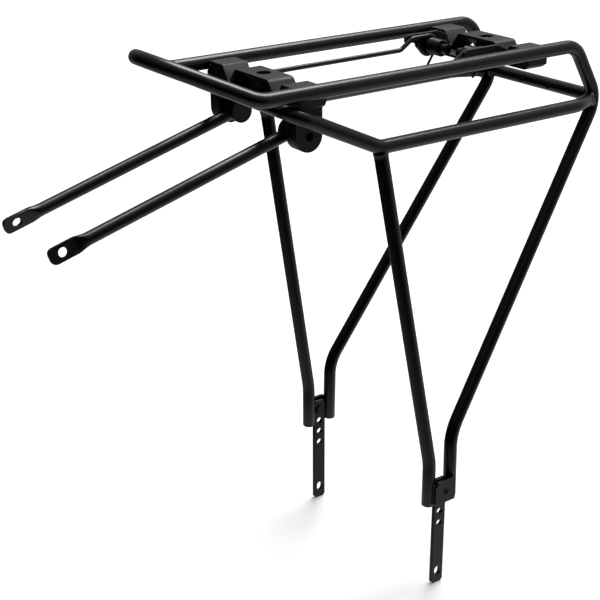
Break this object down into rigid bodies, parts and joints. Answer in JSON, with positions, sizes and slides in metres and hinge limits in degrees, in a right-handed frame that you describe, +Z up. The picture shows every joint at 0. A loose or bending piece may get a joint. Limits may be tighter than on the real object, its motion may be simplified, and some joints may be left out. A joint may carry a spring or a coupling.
{
  "type": "bicycle rear rack",
  "caption": "Tubular rear rack with a raised front hoop, lower bag rails, bridge plates, a sprung wire bow, slide-and-swivel stays and drilled foot strips.",
  "frame": {"origin": "midway between the lower slots of the two foot strips, where the rack is bolted to the bicycle's dropouts", "axes": "+X to the rear of the bicycle, +Y to its right side, +Z up"},
  "size_m": [0.4449, 0.171, 0.4304],
  "materials": {
    "frame_black": "satin powder coat",
    "bracket_black": "matt powder coat",
    "steel_black": "black phosphated steel"
  },
  "bodies": {
    "frame": {"front_hoop": "frame_black", "front_crossmember": "frame_black", "left_top_rail": "frame_black", "left_rear_upright": "frame_black", "left_rear_leg": "frame_black", "left_bag_rail": "frame_black", "left_front_leg": "frame_black", "right_top_rail": "frame_black", "right_rear_upright": "frame_black", "right_rear_leg": "frame_black", "right_bag_rail": "frame_black", "right_front_leg": "frame_black", "rear_crossbar": "frame_black", "left_foot_plate": "frame_black", "left_foot_strip": "frame_black", "left_foot_spacer": "steel_black", "left_foot_screw": "steel_black", "left_foot_nut": "steel_black", "right_foot_plate": "frame_black", "right_foot_strip": "frame_black", "right_foot_spacer": "steel_black", "right_foot_screw": "steel_black", "right_foot_nut": "steel_black", "front_bridge_plate": "bracket_black", "front_bridge_base": "bracket_black", "front_bridge_bush": "steel_black", "rear_bridge_plate": "bracket_black", "rear_bridge_base": "bracket_black", "rear_bridge_bush": "steel_black", "left_stay_hanger": "bracket_black", "left_rear_block": "bracket_black", "left_stay_screw": "steel_black", "left_spring_ear": "bracket_black", "left_spring_screw": "steel_black", "left_torsion_spring": "steel_black", "right_stay_hanger": "bracket_black", "right_rear_block": "bracket_black", "right_stay_screw": "steel_black", "right_spring_ear": "bracket_black", "right_spring_screw": "steel_black", "right_torsion_spring": "steel_black"},
    "left_stay_clamp": {"left_stay_barrel": "bracket_black"},
    "left_stay_rod": {"left_stay": "frame_black"},
    "right_stay_clamp": {"right_stay_barrel": "bracket_black"},
    "right_stay_rod": {"right_stay": "frame_black"},
    "bow": {"spring_bow": "steel_black"}
  },
  "joints": [
    {"name": "left_stay_swivel", "type": "hinge", "parent": "frame", "child": "left_stay_clamp", "pos_m": [-0.1026, -0.0337, 0.36175], "axis": [0, 1, 0], "range_deg": [-28, 36]},
    {"name": "left_stay_slide", "type": "slide", "parent": "left_stay_clamp", "child": "left_stay_rod", "axis": [0.9636, 0, 0.2672], "range_m": [0, 0.06]},
    {"name": "right_stay_swivel", "type": "hinge", "parent": "frame", "child": "right_stay_clamp", "pos_m": [-0.1026, 0.0337, 0.36175], "axis": [0, 1, 0], "range_deg": [-28, 36]},
    {"name": "right_stay_slide", "type": "slide", "parent": "right_stay_clamp", "child": "right_stay_rod", "axis": [0.9636, 0, 0.2672], "range_m": [0, 0.06]},
    {"name": "bow_hinge", "type": "hinge", "parent": "frame", "child": "bow", "pos_m": [0.0665, 0, 0.3868], "axis": [0, 1, 0], "range_deg": [0, 75], "stiffness_Nm_per_rad": 1.6, "springref_deg": -51.57}
  ]
}
